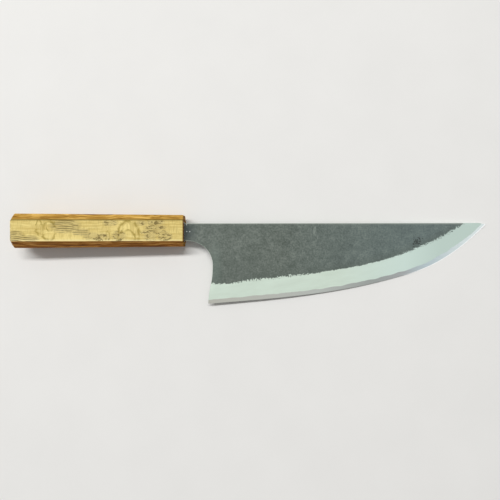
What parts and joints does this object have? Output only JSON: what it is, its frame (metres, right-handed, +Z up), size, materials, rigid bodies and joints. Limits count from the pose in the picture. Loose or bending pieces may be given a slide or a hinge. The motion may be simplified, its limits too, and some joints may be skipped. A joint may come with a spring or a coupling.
{
  "type": "gyuto knife",
  "caption": "Kitchen knife with a three-layer forged blade, black scale above a ground bevel, deep heel, pointed tip, and an eight-sided tapering oak handle.",
  "frame": {"origin": "on the table, under the middle of the knife's box as it lies on its side", "axes": "+X from the butt to the tip, +Y from the cutting edge to the spine, +Z up from the table"},
  "size_m": [0.3426, 0.0652, 0.0246],
  "materials": {
    "core_steel": "whetted carbon steel, bright at the edge, with a light grey patina",
    "clad_iron": "black forge scale above, ground bare below the bevel line",
    "oak": "quartersawn oak with ray fleck, lightly oiled",
    "resin": "hard resin filling, cured with a slight gloss"
  },
  "bodies": {
    "root": {"core_steel": "core_steel", "cladding_upper": "clad_iron", "cladding_lower": "clad_iron", "handle": "oak", "tang_bed": "resin"}
  },
  "joints": []
}
